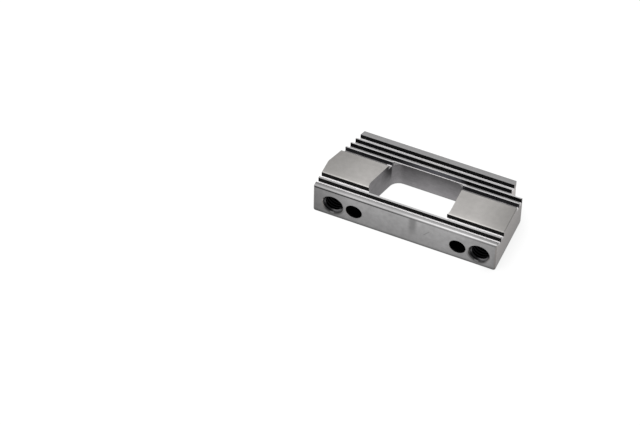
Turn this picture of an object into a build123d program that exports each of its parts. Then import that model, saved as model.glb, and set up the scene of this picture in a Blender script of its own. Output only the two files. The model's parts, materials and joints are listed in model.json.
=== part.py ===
from build123d import *
import math
import os

# Machined mounting block, all sizes in millimetres.
#
# One solid steel block, ground all over.  Its top carries straight slots that run
# from end to end: two behind the front land and four in front of the back land, with
# thin ribs between them and a flat in the middle.  A window with rounded corners goes
# right through, one rear corner is sliced off at a slant and the other is notched.
# The front face holds two threaded holes and, between them, two dowel bores.
#
# Frame: origin in the middle of the underside, +X along the block from its slanted
# end to its notched end, +Y from the drilled front face to the back face, +Z up.

# Overall
LENGTH = 90.0
WIDTH = 41.2
HEIGHT = 16.0

# Slots and the ribs that they leave standing
SLOT_WIDTH = 2.75
SLOT_DEPTH = 2.5
FRONT_LAND = 3.0
FRONT_RIB = 0.95
FRONT_SLOTS = 2
BACK_LAND = 2.7
BACK_RIB = 0.6
BACK_SLOTS = 4

# Ends: a slanted cut at the left rear corner, a square notch at the right rear corner
SLANT_START = 17.3
SLANT_RUN = 7.9
NOTCH_LENGTH = 6.3
NOTCH_SLOTS = 2

# Window through the block, its left wall leaning away from the front face
WINDOW_LEFT = 21.35
WINDOW_LEAN = 15.6
RIGHT_PAD = 27.2
WINDOW_RADIUS = 5.0
FRONT_STEP = 0.2
BACK_STEP = 0.6

# Holes in the front face
HOLE_HEIGHT = 7.35
HOLE_MIDDLE = 45.75
THREAD_SPAN = 72.3
THREAD_DIAMETER = 10.0
THREAD_DEPTH = 20.0
THREAD_MOUTH = 0.45
DRILL_DIAMETER = 8.5
DRILL_DEPTH = 24.0
DRILL_POINT = 118.0
DOWEL_SPAN = 51.1
DOWEL_DIAMETER = 8.0
DOWEL_DEPTH = 6.5
DOWEL_MOUTH = 0.15

# Broken edges
CORNER_BREAK = 0.6
FRONT_BREAK = 0.4
FOOT_BREAK = 0.4
WINDOW_BREAK = 0.8

# Places that follow from the sizes, measured from the front left corner
FRONT_PITCH = SLOT_WIDTH + FRONT_RIB
BACK_PITCH = SLOT_WIDTH + BACK_RIB
FLOOR_HEIGHT = HEIGHT - SLOT_DEPTH
FRONT_STARTS = [FRONT_LAND + i * FRONT_PITCH for i in range(FRONT_SLOTS)]
BACK_STARTS = [WIDTH - BACK_LAND - SLOT_WIDTH - i * BACK_PITCH for i in range(BACK_SLOTS)]
NOTCH_FRONT = BACK_STARTS[NOTCH_SLOTS - 1]
WINDOW_FRONT = FRONT_STARTS[-1] + FRONT_STEP
WINDOW_BACK = BACK_STARTS[NOTCH_SLOTS] + SLOT_WIDTH - BACK_STEP
WINDOW_RIGHT = LENGTH - RIGHT_PAD
CORNER = Location((-LENGTH / 2, -WIDTH / 2, 0))
FROM_MOUTH = (Align.CENTER, Align.CENTER, Align.MIN)


def plan_outline():
    """The block seen from above, as a face at the height of its underside."""
    points = [
        (CORNER_BREAK, 0),
        (LENGTH - CORNER_BREAK, 0),
        (LENGTH, CORNER_BREAK),
        (LENGTH, NOTCH_FRONT),
        (LENGTH - NOTCH_LENGTH, NOTCH_FRONT),
        (LENGTH - NOTCH_LENGTH, WIDTH),
        (SLANT_RUN, WIDTH),
        (0, SLANT_START),
        (0, CORNER_BREAK),
    ]
    return make_face(Polyline(*points, close=True))


def window_outline():
    """The window seen from above: three square sides, one leaning, all corners round."""
    lean = (WINDOW_BACK - WINDOW_FRONT) * math.tan(math.radians(WINDOW_LEAN))
    points = [
        (WINDOW_LEFT, WINDOW_FRONT),
        (WINDOW_RIGHT, WINDOW_FRONT),
        (WINDOW_RIGHT, WINDOW_BACK),
        (WINDOW_LEFT + lean, WINDOW_BACK),
    ]
    square = make_face(Polyline(*points, close=True))
    return fillet(square.vertices(), WINDOW_RADIUS)


def blank():
    """The outline raised to full height, with its top and bottom edges broken."""
    block = extrude(plan_outline(), HEIGHT)
    top = block.faces().sort_by(Axis.Z)[-1]
    front_edge = top.edges().sort_by(Axis.Y)[0]
    block = chamfer(front_edge, FRONT_BREAK)
    foot = block.faces().sort_by(Axis.Z)[0]
    return chamfer(foot.edges(), FOOT_BREAK)


def window():
    """The cutter for the window, flared at the underside."""
    outline = window_outline()
    flare = extrude(offset(outline, WINDOW_BREAK), WINDOW_BREAK, taper=45)
    return extrude(outline, HEIGHT) + flare


def slot(start):
    """One slot along the whole block, its front wall at the given distance."""
    cutter = Box(LENGTH, SLOT_WIDTH, SLOT_DEPTH, align=Align.MIN)
    return Location((0, start, FLOOR_HEIGHT)) * cutter


def drilled(diameter, depth):
    """A blind hole along +Y from the front face, ending in a drill point."""
    radius = diameter / 2
    tip = radius / math.tan(math.radians(DRILL_POINT / 2))
    hole = Cylinder(radius, depth, align=FROM_MOUTH)
    cone = Cone(radius, 0, tip, align=FROM_MOUTH)
    return Rotation(-90, 0, 0) * (hole + Location((0, 0, depth)) * cone)


def threaded_hole():
    """Tapping drill, bore at the thread's major diameter, and a countersunk mouth."""
    radius = THREAD_DIAMETER / 2
    bore = Cylinder(radius, THREAD_DEPTH, align=FROM_MOUTH)
    mouth = Cone(radius + THREAD_MOUTH, radius, THREAD_MOUTH, align=FROM_MOUTH)
    return drilled(DRILL_DIAMETER, DRILL_DEPTH) + Rotation(-90, 0, 0) * (bore + mouth)


def dowel_bore():
    """A smooth bore with a lightly broken mouth."""
    radius = DOWEL_DIAMETER / 2
    mouth = Cone(radius + DOWEL_MOUTH, radius, DOWEL_MOUTH, align=FROM_MOUTH)
    return drilled(DOWEL_DIAMETER, DOWEL_DEPTH) + Rotation(-90, 0, 0) * mouth


def front_holes():
    """All four holes, each pair set evenly about the hole middle."""
    holes = []
    for side in (-1, 1):
        thread_x = HOLE_MIDDLE + side * THREAD_SPAN / 2
        dowel_x = HOLE_MIDDLE + side * DOWEL_SPAN / 2
        holes.append(Location((thread_x, 0, HOLE_HEIGHT)) * threaded_hole())
        holes.append(Location((dowel_x, 0, HOLE_HEIGHT)) * dowel_bore())
    return holes


def mounting_block():
    """The finished block in its own frame."""
    block = blank() - window()
    for start in FRONT_STARTS + BACK_STARTS:
        block -= slot(start)
    for hole in front_holes():
        block -= hole
    return CORNER * block


os.makedirs("parts", exist_ok=True)
solid = mounting_block()
solid.label = "mounting_block"
export_step(solid, "parts/mounting_block.step")
print("volume", round(solid.volume, 1), "solids", len(solid.solids()), "faces", len(solid.faces()))
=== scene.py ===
"""Dresses the machined mounting block: ground steel, cut threads, and a pale studio stage."""

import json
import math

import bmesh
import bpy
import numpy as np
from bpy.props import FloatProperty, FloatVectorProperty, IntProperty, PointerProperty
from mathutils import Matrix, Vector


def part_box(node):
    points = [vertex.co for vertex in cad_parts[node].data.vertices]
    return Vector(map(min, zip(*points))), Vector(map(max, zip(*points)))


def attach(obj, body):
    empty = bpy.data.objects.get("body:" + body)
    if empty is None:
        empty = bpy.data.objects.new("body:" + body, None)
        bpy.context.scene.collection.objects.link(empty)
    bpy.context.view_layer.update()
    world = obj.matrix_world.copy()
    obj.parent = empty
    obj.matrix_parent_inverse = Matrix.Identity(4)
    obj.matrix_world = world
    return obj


bl_info = {
    "name": "Machined Mounting Block",
    "version": (1, 0, 0),
    "blender": (4, 5, 0),
    "location": "View3D > Sidebar > Block",
    "description": "Ground steel finish, cut threads and a pale stage for a slotted mounting block",
    "category": "Object",
}

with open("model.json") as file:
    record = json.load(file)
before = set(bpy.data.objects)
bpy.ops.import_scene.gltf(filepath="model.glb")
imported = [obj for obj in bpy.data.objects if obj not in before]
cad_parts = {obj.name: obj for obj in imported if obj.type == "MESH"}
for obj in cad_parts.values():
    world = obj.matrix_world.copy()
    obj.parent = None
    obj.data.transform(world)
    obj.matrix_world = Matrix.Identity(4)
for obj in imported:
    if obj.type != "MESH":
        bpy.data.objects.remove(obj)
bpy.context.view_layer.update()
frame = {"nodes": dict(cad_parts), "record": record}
MM = 0.001

BLOCK = "mounting_block"
BODY = "root"
LOW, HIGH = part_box(BLOCK)
MOUNTS = {mount["name"]: mount for mount in frame["record"]["mounts"]}
THREADS = ("thread_left", "thread_right")
FACE = LOW[1]

# Depth of the straight slots, and a box round the walls of the window
SLOT_DEPTH = 2.5 * MM
FLOOR = HIGH[2] - SLOT_DEPTH
WINDOW_LEFT, WINDOW_RIGHT = -24.0 * MM, 17.85 * MM
WINDOW_FRONT, WINDOW_BACK = -13.7 * MM, 10.6 * MM
# The flats from front to back, and the rear wall of the slot that the window opens into
FLAT_FRONT, FLAT_BACK = -11.15 * MM, 5.5 * MM
OPEN_SLOT_WALL = 11.2 * MM


# ---------------------------------------------------------------- sizes and colours

class SteelFinish(bpy.types.PropertyGroup):
    """Colours and roughness of the block's ground and cut faces."""

    ground: FloatVectorProperty(name="Flats",
                                description="Colour of the ground flats beside the window",
                                subtype="COLOR", size=3, min=0, max=1, default=(0.387, 0.375, 0.363))
    ribs: FloatVectorProperty(name="Ribs and front",
                              description="Colour of the lands, ribs and drilled face",
                              subtype="COLOR", size=3, min=0, max=1, default=(0.380, 0.376, 0.378))
    ends: FloatVectorProperty(name="Ends and back", description="Colour of the end faces and the back",
                              subtype="COLOR", size=3, min=0, max=1, default=(0.393, 0.372, 0.362))
    # Painted highlight: the slot floors are near white to stand for the overhead light on them
    floors: FloatVectorProperty(name="Slot floors", description="Colour of the bright slot floors",
                                subtype="COLOR", size=3, min=0, max=1, default=(0.93, 0.91, 0.92))
    # Painted shade: the slot walls are near black to stand for the shade inside the narrow slots
    walls: FloatVectorProperty(name="Slot walls", description="Colour of the dark slot walls",
                               subtype="COLOR", size=3, min=0, max=1, default=(0.004, 0.004, 0.0045))
    milled: FloatVectorProperty(name="Window walls", description="Colour of the milled window walls",
                                subtype="COLOR", size=3, min=0, max=1, default=(0.31, 0.30, 0.31))
    # Painted shade: the holes and threads are near black to stand for the shade inside them
    bores: FloatVectorProperty(name="Bores", description="Colour of the drilled holes and threads",
                               subtype="COLOR", size=3, min=0, max=1, default=(0.012, 0.012, 0.013))
    # Painted light: the first turn's colour where it is lit
    lit_turn: FloatVectorProperty(name="Worn thread",
                              description="Colour of the first turn where it is lit",
                              subtype="COLOR", size=3, min=0, max=1, default=(0.15, 0.15, 0.155))
    # Painted shade: the first turn's colour where it is in shade
    shaded_turn: FloatVectorProperty(name="Oiled thread",
                               description="Colour of the first turn where it is dull",
                               subtype="COLOR", size=3, min=0, max=1, default=(0.018, 0.018, 0.019))
    roughness: FloatProperty(name="Roughness", description="Roughness of the ground faces",
                             min=0, max=1, default=0.34)


class ThreadSizes(bpy.types.PropertyGroup):
    """Sizes of the threads cut in the two outer holes."""

    pitch: FloatProperty(name="Pitch", description="Advance of the thread in one turn",
                         unit="LENGTH", default=1.5 * MM)
    crest: FloatProperty(name="Crest radius", description="Radius to the tips of the thread",
                         unit="LENGTH", default=4.19 * MM)
    mouth: FloatProperty(name="Mouth radius", description="Radius of the countersink at the face",
                         unit="LENGTH", default=5.45 * MM)
    turns: IntProperty(name="Points per turn", description="Points around one turn", default=72)


class StageSizes(bpy.types.PropertyGroup):
    """The floor, the lamp and the camera."""

    lens: FloatProperty(name="Lens", description="Focal length on a 36 mm sensor, in millimetres",
                        default=169.945)
    lift: FloatProperty(name="Shift", description="Vertical camera shift, as a share of the width",
                        default=0.0007)
    floor: FloatProperty(name="Floor", description="Width of the floor", unit="LENGTH", default=4.0)
    lamp: FloatProperty(name="Overhead", description="Power of the overhead softbox",
                        unit="POWER", default=10.6)


# ---------------------------------------------------------------- shader helpers

class Tree:
    """Short calls for making and joining shader nodes."""

    def __init__(self, holder):
        holder.use_nodes = True
        self.tree = holder.node_tree
        self.tree.nodes.clear()

    def node(self, kind, **settings):
        """A new shader node with its settings."""
        made = self.tree.nodes.new("ShaderNode" + kind)
        for key, value in settings.items():
            setattr(made, key, value)
        return made

    def join(self, source, socket):
        """Links an output to the socket, or sets the socket to a plain value."""
        if hasattr(source, "is_output"):
            self.tree.links.new(source, socket)
        else:
            socket.default_value = source

    def math(self, operation, a, b=0.0, c=0.0):
        """One Math node over up to three numbers."""
        made = self.node("Math", operation=operation)
        for value, socket in zip((a, b, c), made.inputs):
            self.join(value, socket)
        return made.outputs[0]

    def step(self, value, low, high):
        """Rises smoothly from 0 at low to 1 at high."""
        made = self.node("MapRange", interpolation_type="SMOOTHSTEP")
        for key, number in (("Value", value), ("From Min", low), ("From Max", high)):
            self.join(number, made.inputs[key])
        return made.outputs[0]

    def range(self, value, low, high, out_low, out_high):
        """Runs straight from out_low at low to out_high at high, and stays level outside them."""
        made = self.node("MapRange")
        for socket, number in zip(made.inputs, (value, low, high, out_low, out_high)):
            self.join(number, socket)
        return made.outputs[0]

    def blend(self, factor, a, b, kind="MIX"):
        """Two colours mixed, or combined in another of the Mix node's ways."""
        made = self.node("Mix", data_type="RGBA", blend_type=kind)
        self.join(factor, made.inputs["Factor"])
        self.join(a, made.inputs[6])
        self.join(b, made.inputs[7])
        return made.outputs[2]

    def curve(self, value, stops):
        """Runs straight from stop to stop, each a place in millimetres and its number."""
        low, high = stops[0][0], stops[-1][0]
        peak = max(number for place, number in stops)
        ramp = self.node("ValToRGB")
        elements = ramp.color_ramp.elements
        while len(elements) < len(stops):
            elements.new(0.5)
        for element, (place, number) in zip(elements, stops):
            element.position = (place - low) / (high - low)
        for element, (place, number) in zip(elements, stops):
            element.color = (number / peak, number / peak, number / peak, 1.0)
        self.join(self.range(value, low * MM, high * MM, 0.0, 1.0), ramp.inputs[0])
        return self.math("MULTIPLY", ramp.outputs[0], peak)

    def product(self, *values):
        """All the values multiplied."""
        total = values[0]
        for value in values[1:]:
            total = self.math("MULTIPLY", total, value)
        return total

    def opposite(self, value):
        """1 minus the value."""
        return self.math("SUBTRACT", 1.0, value)

    def between(self, value, low, high, soft=0.1 * MM):
        """1 from low to high, falling to 0 over the soft distance outside them."""
        after = self.step(value, low - soft, low)
        before = self.opposite(self.step(value, high, high + soft))
        return self.product(after, before)

    def patch(self, x, y, edges):
        """1 inside a rectangle, given as left, right, front and back in millimetres."""
        left, right, front, back = (edge * MM for edge in edges)
        return self.product(self.between(x, left, right), self.between(y, front, back))

    def mix(self, factor, a, b):
        """From a to b as the factor rises from 0 to 1."""
        made = self.node("Mix", data_type="FLOAT")
        for number, socket in zip((factor, a, b), (made.inputs[0], made.inputs[2], made.inputs[3])):
            self.join(number, socket)
        return made.outputs[0]

    def length(self, a, b):
        """Length of a step of a one way and b square to it: the root of both squares added."""
        squares = self.math("ADD", self.math("MULTIPLY", a, a), self.math("MULTIPLY", b, b))
        return self.math("SQRT", squares)

    def along(self, way, a, b):
        """How far a step of a and b reaches one way: the parts of both multiplied and added."""
        return self.math("ADD", self.math("MULTIPLY", a, way[0]), self.math("MULTIPLY", b, way[1]))

    def noise(self, vector, scale, detail=2.0, roughness=0.5):
        """Fractal noise between 0 and 1."""
        made = self.node("TexNoise")
        self.join(vector, made.inputs["Vector"])
        made.inputs["Scale"].default_value = scale
        made.inputs["Detail"].default_value = detail
        made.inputs["Roughness"].default_value = roughness
        return made.outputs["Fac"]

    def stretched(self, vector, scale):
        """The vector scaled by its own factor on each axis."""
        made = self.node("Mapping")
        self.join(vector, made.inputs["Vector"])
        made.inputs["Scale"].default_value = scale
        return made.outputs[0]

    def parts(self, vector):
        """The three parts of a vector."""
        made = self.node("SeparateXYZ")
        self.join(vector, made.inputs[0])
        return made.outputs


def rgba(colour):
    """A colour property as the four numbers that a socket takes."""
    return (*colour, 1.0)


# ---------------------------------------------------------------- the steel

# Facing: from where to where a part of a face's direction counts as the named one
LEVEL = (0.8, 0.95)
TILTED = (0.3, 0.6)
SQUARE_ON = (0.98, 0.995)
TO_FRONT = (0.4, 0.9)
TO_RIGHT = (0.9, 0.955)
# Facing of the broken front edge, forward and up, each with the softness of its limits
EDGE_FORWARD = (-0.8, -0.6, 0.05)
EDGE_UP = (0.6, 0.8, 0.05)

# Heights and depths over which a mask sets in
ABOVE_FLOOR = (FLOOR - 0.06 * MM, FLOOR + 0.02 * MM)
NEAR_TOP = (HIGH[2] - 0.6 * MM, HIGH[2] - 0.3 * MM)
EDGE_HEIGHT = (HIGH[2] - 0.8 * MM, HIGH[2] - 0.6 * MM)
BEHIND_FACE = (FACE + 0.02 * MM, FACE + 0.05 * MM)
BORE_SHADE = (FACE + 0.1 * MM, FACE + 1.3 * MM)
# Slack outside a bore's wall, and how far its drill point reaches as a share of its length
BORE_MARGIN = 0.08 * MM
BORE_TAIL = 1.33
# How far inside the front and back faces the slot walls begin, and how softly the colour of
# the flats ends at their first and last edge
SKIN = 0.6 * MM
FLAT_SOFT = 0.5 * MM

# The tones below are painted light and shade, as stops of place and tone, with places in millimetres
# from the origin.
# Ground top from front to back, and its middle flats from left to right, in painted light and shade
TOP_TONES = ((-20.6, 0.76), (-19.7, 1.05), (-18.8, 1.03), (-18.1, 0.78), (-17.5, 0.5), (-16.0, 1.2),
             (-14.0, 1.3), (-11.0, 1.28), (-9.6, 1.15), (-7.5, 1.05), (-3.6, 1.01), (3.0, 0.95),
             (6.0, 0.99), (8.0, 1.42), (11.5, 1.38), (15.0, 1.16), (17.5, 0.81), (20.6, 0.73))
ACROSS_TONES = ((-45.0, 0.72), (-37.0, 0.80), (-31.0, 0.93), (-25.0, 1.02), (0.0, 1.06),
                (30.0, 1.05), (37.0, 0.89), (42.0, 0.77), (45.0, 0.72))
# Painted highlight on the front land, and painted light and shade on the broken edge before it,
# from left to right
LAND_GAIN = ((-45.0, 1.45), (-5.0, 1.15), (9.0, 1.75), (25.0, 1.95), (45.0, 2.2))
EDGE_TONES = ((-45.0, 0.15), (-31.0, 0.23), (-21.0, 0.26), (-5.0, 0.42), (11.0, 0.78),
              (25.0, 1.03), (35.0, 0.85), (45.0, 0.58))
# Painted light and shade on the slot floors, from the two front slots to the four back ones
FLOOR_TONES = ((-17.6, 0.79), (-14.6, 0.79), (-13.9, 0.93), (-11.2, 0.93), (5.0, 0.04), (7.9, 0.04),
               (8.4, 0.13), (11.5, 0.13), (12.0, 0.21), (14.6, 0.21), (15.1, 0.56), (18.0, 0.56))
# Painted light and shade on the slots' rear walls from front to back, and on the one behind the
# window from left to right
SLOT_WALL_TONES = ((-20.0, 0.34), (5.0, 0.34), (6.5, 13.0), (9.5, 13.0), (10.2, 1.5), (15.0, 1.6),
                   (16.5, 0.5), (20.0, 0.5))
OPEN_WALL_TONES = ((-18.0, 1.0), (-9.0, 10.0), (3.0, 22.0), (15.0, 12.0), (18.0, 1.0))
# Painted shade on the upright sides from the foot to the top, and painted light and shade across
# the front from left to right
SIDE_TONES = ((0.0, 0.12), (0.4, 0.16), (0.6, 0.5), (1.1, 0.64), (1.8, 0.83), (5.0, 0.88),
              (9.0, 0.96), (16.0, 1.12))
FRONT_TONES = ((-45.0, 0.80), (-40.0, 0.97), (-28.0, 1.24), (-13.0, 1.32), (17.0, 1.36),
               (33.0, 1.26), (42.0, 1.2), (45.0, 1.0))
# Painted light and shade on the window's rear wall from the foot to the top, and on the fillet at
# its left end
WALL_TONES = ((0.0, 1.4), (1.5, 1.38), (5.0, 1.06), (9.0, 0.82), (12.5, 0.50), (13.5, 0.45))
FILLET_TONES = ((0.0, 1.35), (5.0, 1.0), (13.5, 0.66))

# Lines on the top: painted highlights on the front land and the flats' front edges, and a painted
# shadow along the right end
LAND_LINE = (FACE + 0.85 * MM, FACE + 1.4 * MM)
FLAT_EDGE = (FLAT_FRONT - 0.2 * MM, FLAT_FRONT + 0.5 * MM)
FLAT_EDGE_GAIN = 1.35
LINE_SOFT = 0.25 * MM
END_LINE = (HIGH[0] - 0.4 * MM, HIGH[0])
END_LINE_GAIN = 0.7
# Where the tones across the flats give way to the even ribs behind them
ACROSS_END = (5 * MM, 9 * MM)

# Patches of the slot floors, as left, right, front and back in millimetres: painted shade in the
# corners of the window's slots, a lit lip with shade before it, and a painted highlight on the
# ledge behind the window
CORNER = (-18.6, 17.85, 8.4, 10.45)
UNDER_LIP = (-21.5, -18.0, 5.0, 7.0)
DARK_FLOOR_TONE = 0.06
LIP = (-20.0, -18.0, 7.4, 7.9)
LIP_TONE = 0.9
LEDGE = (-18.6, 17.85, 10.6, 11.3)
LEDGE_TONE = 0.62
LEDGE_SHADOW = (OPEN_SLOT_WALL - 0.28 * MM, OPEN_SLOT_WALL - 0.12 * MM)
LEDGE_SHADOW_TONE = 0.03
# A painted highlight on the floors' right end with a dimmer painted rim, and the line in which the
# window's slot wall shows
RIGHT_END = (HIGH[0] - 1.0 * MM, HIGH[0] - 0.8 * MM)
RIGHT_END_TONE = 0.75
RIGHT_RIM = (HIGH[0] - 0.6 * MM, HIGH[0] - 0.4 * MM)
RIGHT_RIM_TONE = 0.3
OPENED_WALL = (OPEN_SLOT_WALL - 0.1 * MM, OPEN_SLOT_WALL + 0.1 * MM, 0.05 * MM)

# Marks on the drilled face: a darker band that fades downward, and a scratch. The scratch's
# way is its direction to the right and up, and the last number of a place is its softness.
BAND = (3.6 * MM, 4.8 * MM, 2.2 * MM)
BAND_RISE = (1 * MM, 14 * MM)
BAND_GAIN = 0.60
SCRATCH_WAY = (0.64, 0.77)
SCRATCH_LENGTH = (12.6 * MM, 16.0 * MM, 0.5 * MM)
SCRATCH_WIDTH = (-2.6 * MM, -2.4 * MM, 0.25 * MM)
SCRATCH_GAIN = 0.7

# Window walls: the end of the fillet, the painted shade at the rear wall's left, and a wedge of
# painted shade at the left wall's rear top
FILLET_END = (-15.5 * MM, -12.5 * MM)
REAR_SHADE = (-16 * MM, 0.0)
REAR_SHADE_GAIN = 0.7
LEFT_WALL_TONE = 0.84
WEDGE_BACK = (-1.5 * MM, 5.5 * MM)
WEDGE_UP = (3 * MM, 12 * MM)
WEDGE_TONE = 0.27

# Sides of the threaded holes with painted shade, a painted highlight or a painted glint, in
# degrees round each hole from +X towards +Z
SHADED_SIDE = {"thread_left": 280.0, "thread_right": 247.0}
BRIGHT_SIDE = {"thread_left": 110.0, "thread_right": 45.0}
SPECK_SIDE = {"thread_left": 268.0, "thread_right": 258.0}
THREAD_SHADED_SIDE = 232.0
# How near to a side each of these sets in, as the cosine of the angle, and how strongly
FACE_SPREAD = (0.2, 0.95)
FACE_SHADE_GAIN = 0.5
MOUTH_SPREAD = (0.1, 0.7)
MOUTH_SHADE_GAIN = 0.2
BRIGHT_SPREAD = (0.2, 0.8)
BRIGHT_GAIN = 2.0
SPECK_SPREAD = (0.97, 0.995)
SPECK_GAIN = 0.6
THREAD_SPREAD = (0.6, 0.95)
MOUTH_REACH = (5.6 * MM, 6.7 * MM)

# Patterns of the steel: stretch along each axis, scale, detail and roughness of the noise
PATTERNS = {
    "grinding": ((0.05, 1.0, 1.0), 2600, 3.0, 0.6),
    "milling": ((0.12, 0.12, 1.0), 1500, 3.0, 0.6),
    "cloud": ((1.0, 1.0, 1.0), 60, 2.0, 0.5),
    "mottle": ((1.0, 1.0, 1.0), 420, 2.0, 0.6),
}
NOISE_SPAN = (0.3, 0.7)
# How far the patterns swing the tone, and how much more on the drilled face and in the window
GRINDING_SWING = 0.025
MILLING_SWING = 0.07
CLOUD_SWING = 0.2
MOTTLE_SWING = 0.22
COARSE_GAIN = 1.8
# Swing of the roughness, and what slot floors and the broken edge add to it
ROUGH_SWING = 0.05
FLOOR_ROUGHER = 0.2
EDGE_ROUGHER = 0.1
BUMP_STRENGTH = 0.25
BUMP_DEPTH = 0.004 * MM


def axis_offset(t, spot, mount):
    """Step from the line of a hole, which runs along Y: to the right, and up."""
    centre = mount["pos_m"]
    return t.math("SUBTRACT", spot[0], centre[0]), t.math("SUBTRACT", spot[2], centre[2])


def axis_distance(t, spot, mount):
    """Distance from the line of a hole."""
    return t.length(*axis_offset(t, spot, mount))


def toward(t, spot, mount, side):
    """How far a place round a hole lies toward a side: the cosine of the angle between them."""
    turn = math.radians(side)
    reach = t.along((math.cos(turn), math.sin(turn)), *axis_offset(t, spot, mount))
    return t.math("DIVIDE", reach, axis_distance(t, spot, mount))


def bore_mask(t, spot, mount):
    """1 inside a drilled hole: nearer to its line than its wall, and behind its mouth."""
    reach = mount["dims"]["r_mm"] * MM + BORE_MARGIN
    near = t.math("LESS_THAN", axis_distance(t, spot, mount), reach)
    end = FACE + mount["dims"]["length_mm"] * BORE_TAIL * MM
    return t.product(near, t.step(spot[1], *BORE_SHADE), t.math("LESS_THAN", spot[1], end))


def mouth_tone(t, spot):
    """Painted shade and highlights round the threaded holes: a shaded side, a bright side and a lit
    speck.

    It isn't limited in depth, so it also marks the faces round the holes' lines further back,
    which it shouldn't: the back, the slanted cut, the notch, and faintly the slot floors.
    """
    mouth = t.step(spot[1], *BEHIND_FACE)
    tone = 1.0
    for name in THREADS:
        mount = MOUNTS[name]
        near = t.opposite(t.step(axis_distance(t, spot, mount), *MOUTH_REACH))
        shaded = toward(t, spot, mount, SHADED_SIDE[name])
        bright = t.product(near, t.step(toward(t, spot, mount, BRIGHT_SIDE[name]), *BRIGHT_SPREAD))
        speck = t.step(toward(t, spot, mount, SPECK_SIDE[name]), *SPECK_SPREAD)
        on_face = t.mix(t.product(near, t.step(shaded, *FACE_SPREAD)), 1.0, FACE_SHADE_GAIN)
        on_mouth = t.mix(t.product(near, t.step(shaded, *MOUTH_SPREAD)), 1.0,
                         t.mix(speck, MOUTH_SHADE_GAIN, SPECK_GAIN))
        on_mouth = t.product(on_mouth, t.mix(bright, 1.0, BRIGHT_GAIN))
        tone = t.product(tone, t.mix(mouth, on_face, on_mouth))
    return tone


def top_tone(t, x, y):
    """Painted light and shade of the ground top: darker to the ends and the back, with painted
    highlights on the front edges.
    """
    across = t.mix(t.step(y, *ACROSS_END), t.curve(x, ACROSS_TONES), 1.0)
    land = t.mix(t.between(y, *LAND_LINE, LINE_SOFT), 1.0, t.curve(x, LAND_GAIN))
    flat_edge = t.mix(t.between(y, *FLAT_EDGE, LINE_SOFT), 1.0, FLAT_EDGE_GAIN)
    end_line = t.mix(t.between(x, *END_LINE), 1.0, END_LINE_GAIN)
    return t.product(t.curve(y, TOP_TONES), across, land, flat_edge, end_line)


def floor_tone(t, x, y):
    """Painted light and shade of the slot floors: by slot, with a painted highlight at the right end
    and on the ledge behind the window. The open corners of the window's slots are painted as dark as
    its walls, as painted shade.
    """
    end = t.mix(t.step(x, *RIGHT_RIM), RIGHT_END_TONE, RIGHT_RIM_TONE)
    tone = t.mix(t.step(x, *RIGHT_END), t.curve(y, FLOOR_TONES), end)
    dark = t.math("MAXIMUM", t.patch(x, y, CORNER), t.patch(x, y, UNDER_LIP))
    tone = t.mix(dark, tone, DARK_FLOOR_TONE)
    tone = t.mix(t.patch(x, y, LIP), tone, LIP_TONE)
    ledge = t.mix(t.step(y, *LEDGE_SHADOW), LEDGE_TONE, LEDGE_SHADOW_TONE)
    return t.mix(t.patch(x, y, LEDGE), tone, ledge)


def slot_wall_tone(t, x, y):
    """Painted shade of the slot walls, lighter where the window opens the slot before them to the
    light.
    """
    opened = t.mix(t.between(y, *OPENED_WALL), 1.0, t.curve(x, OPEN_WALL_TONES))
    return t.product(t.curve(y, SLOT_WALL_TONES), opened)


def front_tone(t, x, z):
    """Painted light and shade of the drilled face from left to right, with a soft darker band and a
    short scratch.
    """
    band = t.product(t.between(x, *BAND), t.step(z, *BAND_RISE))
    right, up = SCRATCH_WAY
    scratch = t.product(t.between(t.along((right, up), x, z), *SCRATCH_LENGTH),
                        t.between(t.along((-up, right), x, z), *SCRATCH_WIDTH))
    return t.product(t.curve(x, FRONT_TONES), t.mix(band, 1.0, BAND_GAIN),
                     t.mix(scratch, 1.0, SCRATCH_GAIN))


def window_tone(t, spot, facing):
    """Painted shade on the window's walls: the rear wall darkens upward, the left wall toward its rear
    top.
    """
    x, y, z = spot
    rear = t.step(t.product(facing[1], -1.0), *TO_FRONT)
    fillet = t.opposite(t.step(x, *FILLET_END))
    upward = t.product(t.curve(z, WALL_TONES), t.mix(t.step(x, *REAR_SHADE), REAR_SHADE_GAIN, 1.0))
    upward = t.mix(fillet, upward, t.curve(z, FILLET_TONES))
    left = t.step(facing[0], *TO_RIGHT)
    wedge = t.product(t.step(y, *WEDGE_BACK), t.step(z, *WEDGE_UP))
    return t.mix(left, t.mix(rear, 1.0, upward), t.mix(wedge, LEFT_WALL_TONE, WEDGE_TONE))


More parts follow.
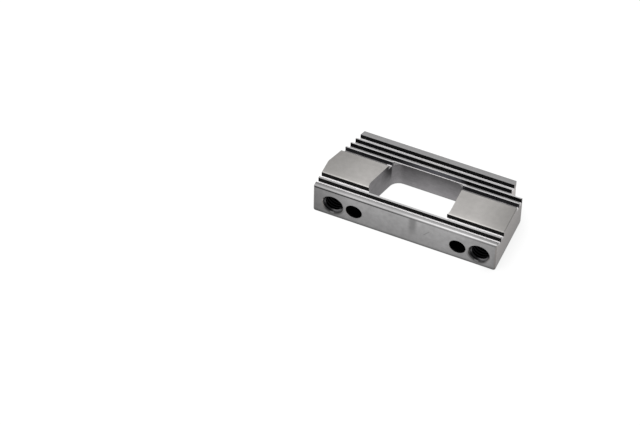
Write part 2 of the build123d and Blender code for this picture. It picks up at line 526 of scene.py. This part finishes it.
def steel_masks(t, spot, facing):
    """Where each way of cutting shows, from the place and the facing of the surface.

    Level faces at the height of the slot floors are slot floors, upright faces above them
    are slot walls, and upright faces within the window's box are window walls.
    """
    x, y, z = spot
    level = t.step(facing[2], *LEVEL)
    steep = t.opposite(t.step(t.math("ABSOLUTE", facing[2]), *TILTED))
    across = t.step(t.math("ABSOLUTE", facing[1]), *SQUARE_ON)
    above = t.step(z, *ABOVE_FLOOR)
    top = t.product(level, t.step(z, *NEAR_TOP))
    beside = t.between(x, WINDOW_LEFT, WINDOW_RIGHT)
    flush = t.math("MAXIMUM", t.between(y, WINDOW_FRONT, WINDOW_FRONT),
                   t.between(y, WINDOW_BACK, WINDOW_BACK))
    in_bore = 0.0
    for mount in MOUNTS.values():
        if "r_mm" in mount["dims"]:
            in_bore = t.math("MAXIMUM", in_bore, bore_mask(t, spot, mount))
    return {
        "steep": steep,
        "top": top,
        "flat": t.product(top, t.between(y, FLAT_FRONT, FLAT_BACK, FLAT_SOFT)),
        "floor": t.product(level, above, t.opposite(top)),
        "wall": t.product(across, above, t.between(y, LOW[1] + SKIN, HIGH[1] - SKIN),
                          t.opposite(t.product(beside, flush))),
        "window": t.product(steep, beside, t.between(y, WINDOW_FRONT, WINDOW_BACK)),
        "front": t.product(steep, t.opposite(t.step(y, *BEHIND_FACE))),
        "edge": t.product(t.between(facing[1], *EDGE_FORWARD), t.between(facing[2], *EDGE_UP),
                          t.step(z, *EDGE_HEIGHT)),
        "bore": in_bore,
    }


def steel_tone(t, spot, facing, masks, patterns):
    """Brightness of the steel: the painted light and shade of each way of cutting, times its clouds
    and its lines.
    """
    x, y, z = spot
    tone = t.mix(masks["top"], 1.0, top_tone(t, x, y))
    tone = t.mix(masks["steep"], tone, t.curve(z, SIDE_TONES))
    tone = t.mix(masks["front"], tone, t.product(tone, front_tone(t, x, z)))
    tone = t.product(tone, mouth_tone(t, spot))
    tone = t.mix(masks["window"], tone, window_tone(t, spot, facing))
    tone = t.mix(masks["floor"], tone, floor_tone(t, x, y))
    tone = t.mix(masks["wall"], tone, slot_wall_tone(t, x, y))
    tone = t.mix(masks["edge"], tone, t.curve(x, EDGE_TONES))

    strength = t.mix(t.math("MAXIMUM", masks["front"], masks["window"]), 1.0, COARSE_GAIN)
    cloudy = t.product(strength, t.along((CLOUD_SWING, MOTTLE_SWING),
                                         t.math("SUBTRACT", patterns["cloud"], 0.5),
                                         t.math("SUBTRACT", patterns["mottle"], 0.5)))
    ground = t.range(patterns["grinding"], *NOISE_SPAN, 1.0 - GRINDING_SWING, 1.0 + GRINDING_SWING)
    milled = t.range(patterns["milling"], *NOISE_SPAN, 1.0 - MILLING_SWING, 1.0 + MILLING_SWING)
    return t.product(tone, t.math("ADD", 1.0, cloudy), t.mix(masks["window"], ground, milled))


def steel_colour(t, finish, masks, tone):
    """Colour of the steel by the way each face was cut, times its painted light and shade."""
    colour = t.blend(masks["flat"], rgba(finish.ribs), rgba(finish.ground))
    side = t.product(masks["steep"], t.opposite(masks["front"]))
    # The near-white slot floors and the near-black slot walls and bores are painted light and shade
    for mask, paint in ((side, finish.ends), (masks["floor"], finish.floors),
                        (masks["window"], finish.milled), (masks["wall"], finish.walls),
                        (masks["bore"], finish.bores)):
        colour = t.blend(mask, colour, rgba(paint))
    shade = t.node("CombineColor")
    for socket in shade.inputs:
        t.join(tone, socket)
    return t.blend(1.0, colour, shade.outputs[0], "MULTIPLY")


def steel_material(finish):
    """Ground steel whose tone follows the way each face was cut, with light and shade painted into it.
    The slot floors aren't metallic, and their near-white colour is a painted highlight of the overhead
    light.
    """
    material = bpy.data.materials.new("ground_steel")
    t = Tree(material)
    place = t.node("TexCoord")
    spot = t.parts(place.outputs["Object"])
    facing = t.parts(place.outputs["Normal"])
    patterns = {name: t.noise(t.stretched(place.outputs["Object"], stretch), *settings)
                for name, (stretch, *settings) in PATTERNS.items()}
    masks = steel_masks(t, spot, facing)
    tone = steel_tone(t, spot, facing, masks, patterns)

    rough = t.math("ADD", finish.roughness, t.range(patterns["grinding"], *NOISE_SPAN,
                                                    -ROUGH_SWING, ROUGH_SWING))
    rough = t.math("ADD", rough, t.along((FLOOR_ROUGHER, EDGE_ROUGHER), masks["floor"], masks["edge"]))
    bump = t.node("Bump")
    bump.inputs["Strength"].default_value = BUMP_STRENGTH
    bump.inputs["Distance"].default_value = BUMP_DEPTH
    t.join(patterns["grinding"], bump.inputs["Height"])

    shader = t.node("BsdfPrincipled")
    t.join(t.opposite(masks["floor"]), shader.inputs["Metallic"])
    t.join(steel_colour(t, finish, masks, tone), shader.inputs["Base Color"])
    t.join(rough, shader.inputs["Roughness"])
    t.join(bump.outputs[0], shader.inputs["Normal"])
    out = t.node("OutputMaterial")
    t.join(shader.outputs[0], out.inputs["Surface"])
    return material


class BLOCK_OT_steel(bpy.types.Operator):
    """Give the block its ground steel finish"""

    bl_idname = "block.steel"
    bl_label = "Ground Steel"

    def execute(self, context):
        block = frame["nodes"][BLOCK]
        material = steel_material(context.scene.block_finish)
        for place in block.material_slots:
            place.material = material
        return {"FINISHED"}


# ---------------------------------------------------------------- the threads

# The sleeve that carries a thread: its root stands off the bore's wall, its outer side lies
# inside the steel, its inner end stops short of the bore's, and points closer than the weld
# are joined
ROOT_GAP = 0.04 * MM
SKIN_DEPTH = 0.05 * MM
END_GAP = 0.3 * MM
WELD = 0.0005 * MM
ROWS_PER_TURN = 16

# Depth at which the first turn ends, the painted highlight on the crest above its tips, and the
# heights about the hole's line over which the light is lost
FIRST_TURN = (1.6 * MM, 2.4 * MM)
CREST_HIGHLIGHT = (0.05 * MM, 0.3 * MM)
UPPER_SIDE = (-4.6 * MM, 3.0 * MM)
OIL_GRAIN = (1800, 2.0, 0.6)
THREAD_ROUGHNESS = (0.2, 0.32)


def thread_profile(phase, root, crest, pitch):
    """Radius of an internal thread along one pitch, as a function of the phase from 0 to 1.

    A flat root of an eighth of the pitch, two straight flanks at 60 degrees to each other,
    and a flat crest of a quarter of the pitch, cut off at the crest radius.
    """
    away = np.abs(((phase + 0.5) % 1.0) - 0.5)
    flank = (away * pitch - pitch / 16) * math.sqrt(3)
    return np.clip(root - flank, crest, root)


def thread_grid(sizes, root, start, end):
    """Inner surface of a right-hand thread, a grid of angle against length that follows the helix.

    The angle runs from +X to +Z, against the way the thread advances, so the turn made at a
    column is 1 - angle / full turn. Row i lies at start + pitch * (i / rows + turn - 1), kept
    between start and end, and its radius is the larger of the thread's and the countersink's.
    """
    rows = int(math.ceil((end - start) / sizes.pitch) + 1) * ROWS_PER_TURN + 1
    angle = np.linspace(0.0, 2 * math.pi, sizes.turns + 1)[None, :]
    turn = 1.0 - angle / (2 * math.pi)
    along = start + sizes.pitch * (np.arange(rows)[:, None] / ROWS_PER_TURN + turn - 1.0)
    along = np.clip(along, start, end)
    phase = (along - start) / sizes.pitch - turn
    radius = thread_profile(phase, root, sizes.crest, sizes.pitch)
    radius = np.minimum(root, np.maximum(radius, sizes.mouth - along))
    return angle + np.zeros_like(along), along, radius


def grid_faces(rows, columns):
    """Quads of a grid of points numbered row by row, as an array of four indices each."""
    first = (np.arange(rows - 1)[:, None] * columns + np.arange(columns - 1)[None, :]).ravel()
    return np.stack([first, first + 1, first + columns + 1, first + columns], axis=1)


def thread_piece(name, mount, sizes):
    """One cut thread as a thin closed sleeve inside its bore.

    The inner side is thread_grid, the outer side a cylinder just inside the steel, and
    the two are joined at both ends by flat rings. A point lies at the bore's centre plus
    radius times the cosine of its angle to the right and the sine upward.
    """
    bore = mount["dims"]["r_mm"] * MM
    length = mount["dims"]["length_mm"] * MM
    x, y, z = mount["pos_m"]
    start = y - length / 2 - FACE
    end = start + length - END_GAP
    angle, along, radius = thread_grid(sizes, bore - ROOT_GAP, start, end)
    row = np.ones((1, angle.shape[1]))
    outer = row * (bore + SKIN_DEPTH)
    angle = np.concatenate([angle[:1], angle, angle[-1:], angle[:1]])
    along = np.concatenate([row * start, along, row * end, row * start])
    radius = np.concatenate([outer, radius, outer, outer])
    points = np.stack([x + radius * np.cos(angle), FACE + along, z + radius * np.sin(angle)], axis=-1)
    mesh = bpy.data.meshes.new(name)
    mesh.from_pydata(points.reshape(-1, 3).tolist(), [], grid_faces(*points.shape[:2]).tolist())
    work = bmesh.new()
    work.from_mesh(mesh)
    bmesh.ops.remove_doubles(work, verts=work.verts, dist=WELD)
    bmesh.ops.recalc_face_normals(work, faces=work.faces)
    work.to_mesh(mesh)
    work.free()
    piece = bpy.data.objects.new(name, mesh)
    bpy.context.collection.objects.link(piece)
    return piece


def thread_material(finish, crest):
    """Cut thread: painted near black as shade in the hole, slightly oily in roughness, with painted
    light on its first turn toward the bottom.
    """
    material = bpy.data.materials.new("cut_thread")
    t = Tree(material)
    place = t.node("TexCoord").outputs["Object"]
    spot = t.parts(place)
    away = t.math("MINIMUM", *(axis_distance(t, spot, MOUNTS[name]) for name in THREADS))
    first = t.opposite(t.step(t.math("SUBTRACT", spot[1], FACE), *FIRST_TURN))
    # Painted highlight on the crest of the first turn
    lit_crest = t.product(first, t.opposite(t.step(away, *(crest + edge for edge in CREST_HIGHLIGHT))))
    shaded = t.math("MAXIMUM", *(t.step(toward(t, spot, MOUNTS[name], THREAD_SHADED_SIDE), *THREAD_SPREAD)
                               for name in THREADS))
    axis = MOUNTS[THREADS[0]]["pos_m"][2]
    upper = t.step(spot[2], *(axis + edge for edge in UPPER_SIDE))
    unlit = t.math("MAXIMUM", upper, shaded)
    # Lit and shaded copies of one colour on the first turn: painted light and shade
    colour = t.blend(unlit, rgba(finish.lit_turn), rgba(finish.shaded_turn))
    colour = t.blend(first, rgba(finish.bores), colour)
    colour = t.blend(t.product(lit_crest, t.opposite(unlit)), colour, rgba(finish.milled))
    shader = t.node("BsdfPrincipled")
    shader.inputs["Metallic"].default_value = 1.0
    t.join(colour, shader.inputs["Base Color"])
    t.join(t.range(t.noise(place, *OIL_GRAIN), *NOISE_SPAN, *THREAD_ROUGHNESS),
           shader.inputs["Roughness"])
    out = t.node("OutputMaterial")
    t.join(shader.outputs[0], out.inputs["Surface"])
    return material


class BLOCK_OT_threads(bpy.types.Operator):
    """Cut the threads in the two outer holes"""

    bl_idname = "block.threads"
    bl_label = "Threads"

    def execute(self, context):
        sizes = context.scene.block_thread
        material = thread_material(context.scene.block_finish, sizes.crest)
        for name in THREADS:
            piece = thread_piece(name, MOUNTS[name], sizes)
            piece.data.materials.append(material)
            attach(piece, BODY)
        return {"FINISHED"}


# ---------------------------------------------------------------- the stage

WHITE = (1.0, 1.0, 1.0, 1.0)
TABLE_COLOUR = (0.9, 0.9, 0.9, 1.0)
FLOOR_LEVEL = -0.02 * MM

# Shadows on the table: how far each looks for cover, and the openness and the brightness
# that it runs between. The wide one starts beside the right end.
CONTACT_REACH, CONTACT_OPEN, CONTACT_BRIGHT = 0.5 * MM, (0.3, 0.7), (0.05, 1.02)
WIDE_REACH, WIDE_OPEN, WIDE_BRIGHT = 14 * MM, (0.5, 1.0), (0.88, 1.0)
WIDE_START = (HIGH[0] - 12 * MM, HIGH[0] - 2 * MM)
SHELTER_SAMPLES = 16
# Share of the glow that the camera sees, and the brightness that reflections see
GLOW_SEEN, GLOW_MIRRORED = 0.93, 0.6

# Levels of the world in front, behind and overhead, and the directions they change between
FRONT_LEVEL, BACK_LEVEL = 0.7, 1.1
TURN_TO_BACK = (-0.3, 0.35)
OVERHEAD = (0.8, 0.98)

LAMP_PLACE = (0.0, -0.25, 0.95)
LAMP_SIZE = (0.9, 0.5)
CAMERA_PLACE = (0.316667, -0.868836, 1.044979)
CAMERA_TURN = (41.3516, -0.7072, 23.6939)
SENSOR_WIDTH = 36.0
CAMERA_NEAR, CAMERA_FAR = 0.01, 20.0


def ray_masks(t):
    """Masks of the rays that see the stage itself: straight or through glass, and in reflections."""
    path = t.node("LightPath")
    straight = t.math("MAXIMUM", path.outputs["Is Camera Ray"], path.outputs["Is Transmission Ray"])
    return straight, path.outputs["Is Glossy Ray"]


def openness(t, reach):
    """How open the sky is over a point, 0 to 1, looking for cover within the reach."""
    shelter = t.node("AmbientOcclusion", samples=SHELTER_SAMPLES)
    shelter.inputs["Distance"].default_value = reach
    return shelter.outputs["AO"]


def floor_material():
    """A white table top: white to the eye and in reflections.

    It has a thin contact shadow all round, and a wide faint one beside the right end.
    """
    material = bpy.data.materials.new("white_table")
    t = Tree(material)
    straight, glossy = ray_masks(t)
    matte = t.node("BsdfDiffuse")
    matte.inputs["Color"].default_value = TABLE_COLOUR
    glow = t.node("Emission")
    glow.inputs["Color"].default_value = WHITE
    spot = t.parts(t.node("TexCoord").outputs["Object"])
    contact = t.range(openness(t, CONTACT_REACH), *CONTACT_OPEN, *CONTACT_BRIGHT)
    wide = t.range(openness(t, WIDE_REACH), *WIDE_OPEN, *WIDE_BRIGHT)
    faint = t.mix(t.product(t.step(spot[0], *WIDE_START), t.opposite(glossy)), 1.0, wide)
    t.join(t.product(contact, faint, t.mix(glossy, 1.0, GLOW_MIRRORED)), glow.inputs["Strength"])
    both = t.node("MixShader")
    t.join(t.math("ADD", t.math("MULTIPLY", straight, GLOW_SEEN), glossy), both.inputs[0])
    t.join(matte.outputs[0], both.inputs[1])
    t.join(glow.outputs[0], both.inputs[2])
    out = t.node("OutputMaterial")
    t.join(both.outputs[0], out.inputs["Surface"])
    return material


def studio_world():
    """White behind the object; for light and reflections, bright behind and above, dim in front."""
    world = bpy.data.worlds.new("studio")
    bpy.context.scene.world = world
    t = Tree(world)
    straight, glossy = ray_masks(t)
    way = t.parts(t.node("TexCoord").outputs["Generated"])
    around = t.range(t.step(way[1], *TURN_TO_BACK), 0.0, 1.0, FRONT_LEVEL, BACK_LEVEL)
    level = t.math("MAXIMUM", around, t.step(way[2], *OVERHEAD))
    back = t.node("Background")
    t.join(t.blend(straight, level, WHITE), back.inputs["Color"])
    out = t.node("OutputWorld")
    t.join(back.outputs[0], out.inputs["Surface"])


def facing_matrix(place, back):
    """A turn that points local +Z along back, with local +X level, placed at place.

    The first axis is +Z crossed with back, and the second is back crossed with the first.
    """
    back = np.array(back) / np.linalg.norm(back)
    right = np.cross((0.0, 0.0, 1.0), back)
    right = right / np.linalg.norm(right)
    turn = np.eye(4)
    turn[:3] = np.stack([right, np.cross(back, right), back, place], axis=1)
    return Matrix(turn.tolist())


def softbox(name, power):
    """The overhead area lamp, which faces the origin and doesn't mirror in the steel."""
    lamp = bpy.data.lights.new(name, "AREA")
    lamp.shape = "RECTANGLE"
    lamp.size, lamp.size_y = LAMP_SIZE
    lamp.energy = power
    holder = bpy.data.objects.new(name, lamp)
    bpy.context.collection.objects.link(holder)
    holder.matrix_world = facing_matrix(LAMP_PLACE, LAMP_PLACE)
    holder.visible_camera = False
    holder.visible_glossy = False


def table_top(width):
    """A flat square just under the block's foot."""
    half = width / 2
    mesh = bpy.data.meshes.new("floor")
    corners = ((-half, -half), (half, -half), (half, half), (-half, half))
    mesh.from_pydata([(x, y, FLOOR_LEVEL) for x, y in corners], [], [(0, 1, 2, 3)])
    mesh.materials.append(floor_material())
    floor = bpy.data.objects.new("floor", mesh)
    bpy.context.collection.objects.link(floor)


def studio_camera(sizes):
    """The camera, with its place in metres and its turn in degrees."""
    camera = bpy.data.cameras.new("camera")
    camera.sensor_width = SENSOR_WIDTH
    camera.lens = sizes.lens
    camera.shift_y = sizes.lift
    camera.clip_start = CAMERA_NEAR
    camera.clip_end = CAMERA_FAR
    holder = bpy.data.objects.new("camera", camera)
    holder.location = CAMERA_PLACE
    holder.rotation_euler = [math.radians(angle) for angle in CAMERA_TURN]
    bpy.context.collection.objects.link(holder)
    bpy.context.scene.camera = holder


class BLOCK_OT_stage(bpy.types.Operator):
    """Set up the white floor, the studio light and the camera"""

    bl_idname = "block.stage"
    bl_label = "Stage"

    def execute(self, context):
        sizes = context.scene.block_stage
        table_top(sizes.floor)
        studio_world()
        softbox("overhead", sizes.lamp)
        studio_camera(sizes)
        context.scene.view_settings.view_transform = "Standard"
        return {"FINISHED"}


# ---------------------------------------------------------------- panel and registration

class BLOCK_PT_panel(bpy.types.Panel):
    """Buttons and sizes for the mounting block"""

    bl_idname = "BLOCK_PT_panel"
    bl_label = "Mounting Block"
    bl_space_type = "VIEW_3D"
    bl_region_type = "UI"
    bl_category = "Block"

    def draw(self, context):
        column = self.layout.column()
        for operator in OPERATORS:
            column.operator(operator.bl_idname)
        for holder in GROUPS:
            group = getattr(context.scene, holder)
            for name in group.__annotations__:
                column.prop(group, name)


OPERATORS = (BLOCK_OT_stage, BLOCK_OT_steel, BLOCK_OT_threads)
GROUPS = {"block_finish": SteelFinish, "block_thread": ThreadSizes, "block_stage": StageSizes}
CLASSES = (*GROUPS.values(), *OPERATORS, BLOCK_PT_panel)


def register():
    """Add the classes, and hang the groups of sizes on the scene."""
    for item in CLASSES:
        bpy.utils.register_class(item)
    for name, group in GROUPS.items():
        setattr(bpy.types.Scene, name, PointerProperty(type=group))


def unregister():
    """Take off what register added, in reverse order."""
    for name in GROUPS:
        delattr(bpy.types.Scene, name)
    for item in reversed(CLASSES):
        bpy.utils.unregister_class(item)


def main():
    """Build everything in order."""
    register()
    bpy.ops.block.stage()
    bpy.ops.block.steel()
    bpy.ops.block.threads()


if __name__ == "__main__":
    main()
